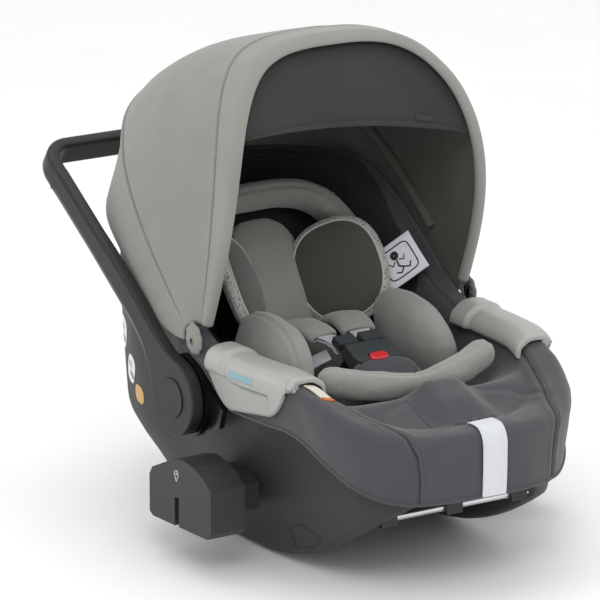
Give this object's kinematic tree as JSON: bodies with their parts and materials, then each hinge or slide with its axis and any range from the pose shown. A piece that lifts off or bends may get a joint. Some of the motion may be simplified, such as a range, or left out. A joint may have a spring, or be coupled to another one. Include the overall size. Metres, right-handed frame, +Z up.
{
  "type": "infant car seat",
  "caption": "Rear-facing infant carrier: padded tub with newborn insert and harness, folding sun hood, swinging carry handle with release buttons, and rockers with a steel base bar.",
  "frame": {"origin": "Middle of the footprint on the floor, with the seat standing on its rockers and the handle lowered behind the hood.", "axes": "+X is towards the child's left-hand side seen from the front (the side of the adapter marked right), +Y points to the back of the seat where the head lies, +Z is up. The left and right halves mirror across X = 0."},
  "size_m": [0.5, 0.6676, 0.5974],
  "materials": {
    "shell_plastic": "fine grain, dark grey",
    "handle_plastic": "fine grain, charcoal",
    "gloss_black": "glossy black",
    "guide_plastic": "light grey, smooth",
    "adapter_plastic": "black, grained",
    "steel": "bright bar",
    "lock_steel": "stamped ring",
    "foam": "grey energy-absorbing foam",
    "hood_cloth": "light grey melange twill",
    "hood_trim_cloth": "grey melange piping",
    "valance_cloth": "dark grey lining",
    "cover_cloth": "dark purple-grey melange",
    "insert_cloth": "light grey jersey",
    "wing_cloth": "dark grey jersey with white piping",
    "crotch_cloth": "dark grey melange",
    "bow_plastic": "black moulded",
    "webbing_dark": "woven polyester webbing",
    "webbing_light": "light woven polyester webbing",
    "buckle_plastic": "dark grey",
    "button_red": "red",
    "tag_cloth": "satin tape",
    "label_cloth": "white satin label"
  },
  "bodies": {
    "seat": {"outer_shell": "shell_plastic", "seat_liner": "foam", "seat_cover": "cover_cloth", "base_bar": "steel", "bar_clips": "bow_plastic", "adapter_left": "adapter_plastic", "adapter_right": "adapter_plastic", "belt_guide_left": "guide_plastic", "belt_guide_right": "guide_plastic", "hub_base_left": "gloss_black", "hub_base_right": "gloss_black", "hub_pin_left": "steel", "hub_pin_right": "steel", "lock_ring_left": "lock_steel", "lock_ring_right": "lock_steel", "hood_fabric": "hood_cloth", "hood_rear_bow": "bow_plastic", "hood_clip_left": "gloss_black", "hood_clip_right": "gloss_black", "insert_back": "insert_cloth", "insert_seat": "insert_cloth", "insert_bolster_left": "insert_cloth", "insert_bolster_right": "insert_cloth", "insert_front_roll": "insert_cloth", "shoulder_strap_left": "webbing_dark", "shoulder_strap_right": "webbing_dark", "shoulder_pad_left": "insert_cloth", "shoulder_pad_right": "insert_cloth", "buckle_body": "buckle_plastic", "buckle_tongue_left": "buckle_plastic", "buckle_tongue_right": "buckle_plastic", "crotch_pad": "crotch_cloth", "lap_strap_left": "webbing_light", "lap_strap_right": "webbing_light", "adjuster_housing": "bow_plastic", "adjuster_strap": "webbing_light", "care_label": "label_cloth", "side_tag": "tag_cloth"},
    "handle": {"handle_arm_left": "handle_plastic", "handle_arm_right": "handle_plastic", "handle_grip": "handle_plastic"},
    "release_left": {"handle_button_left": "handle_plastic"},
    "release_right": {"handle_button_right": "handle_plastic"},
    "hood_front": {"hood_front_band": "hood_cloth", "hood_rim": "hood_trim_cloth", "hood_valance": "valance_cloth"},
    "headrest": {"headrest_board": "bow_plastic", "headrest_pad": "insert_cloth", "head_centre_pad": "insert_cloth", "head_wing_left": "wing_cloth", "head_wing_right": "wing_cloth"},
    "buckle_release": {"buckle_button": "button_red"},
    "adjuster_release": {"adjuster_button": "adapter_plastic"}
  },
  "joints": [
    {"name": "handle_swing", "type": "hinge", "parent": "seat", "child": "handle", "pos_m": [0, 0.0146, 0.184], "axis": [1, 0, 0], "range_deg": [-58, 0]},
    {"name": "handle_button_left_press", "type": "slide", "parent": "handle", "child": "release_left", "axis": [1, 0, 0], "range_m": [0, 0.004], "stiffness_N_per_m": 1500},
    {"name": "handle_button_right_press", "type": "slide", "parent": "handle", "child": "release_right", "axis": [-1, 0, 0], "range_m": [0, 0.004], "stiffness_N_per_m": 1500},
    {"name": "hood_fold", "type": "hinge", "parent": "seat", "child": "hood_front", "pos_m": [0, -0.0054, 0.256], "axis": [-1, 0, 0], "range_deg": [0, 38], "deforming": ["hood_fabric"]},
    {"name": "headrest_slide", "type": "slide", "parent": "seat", "child": "headrest", "axis": [0, 0.5678, 0.8232], "range_m": [0, 0.035]},
    {"name": "buckle_button_press", "type": "slide", "parent": "seat", "child": "buckle_release", "axis": [0, 0.4067, -0.9136], "range_m": [0, 0.0025], "stiffness_N_per_m": 4000},
    {"name": "adjuster_button_press", "type": "slide", "parent": "seat", "child": "adjuster_release", "axis": [0, 0, -1], "range_m": [0, 0.0025], "stiffness_N_per_m": 1500}
  ]
}
